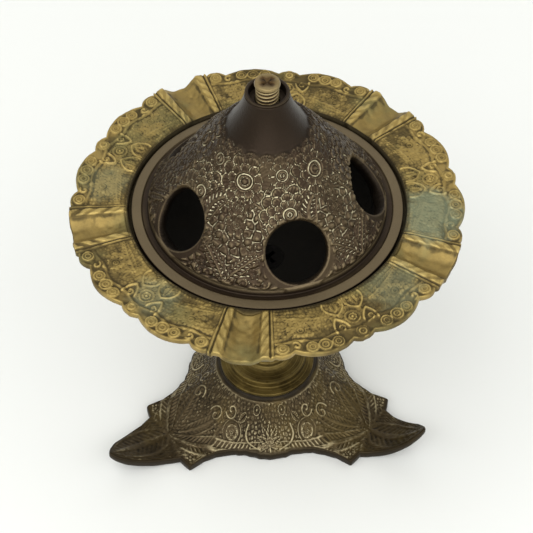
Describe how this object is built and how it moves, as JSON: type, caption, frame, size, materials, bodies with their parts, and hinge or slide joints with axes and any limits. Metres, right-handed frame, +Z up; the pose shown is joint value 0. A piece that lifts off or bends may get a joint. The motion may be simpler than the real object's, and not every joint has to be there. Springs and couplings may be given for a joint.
{
  "type": "incense burner",
  "caption": "Footed brass incense burner with a scalloped, notched rim, a turned pedestal and a pierced conical lid that lifts off.",
  "frame": {"origin": "on the turning axis, at ground level under the three-footed base", "axes": "+Z up along the turning axis; -Y is the front, towards the viewer"},
  "size_m": [0.1121, 0.1132, 0.1357],
  "materials": {
    "aged_brass_dark": "cast, dark brown patina in the relief",
    "turned_brass": "turned, dull olive",
    "cast_brass_olive": "cast, olive with some green patina",
    "aged_brass_brown": "cast, brown patina with worn high spots",
    "rusty_steel": "plated steel with rust",
    "plain_steel": "plated steel"
  },
  "bodies": {
    "stand": {"tripod_base": "aged_brass_dark", "pedestal_stem": "turned_brass", "bowl": "cast_brass_olive", "tie_bolt": "plain_steel", "base_washer": "plain_steel", "base_nut": "plain_steel"},
    "lid": {"lid": "aged_brass_brown", "finial_screw": "rusty_steel"}
  },
  "joints": [
    {"name": "lid_lift", "type": "slide", "parent": "stand", "child": "lid", "axis": [0, 0, 1], "range_m": [0, 0.06]}
  ]
}
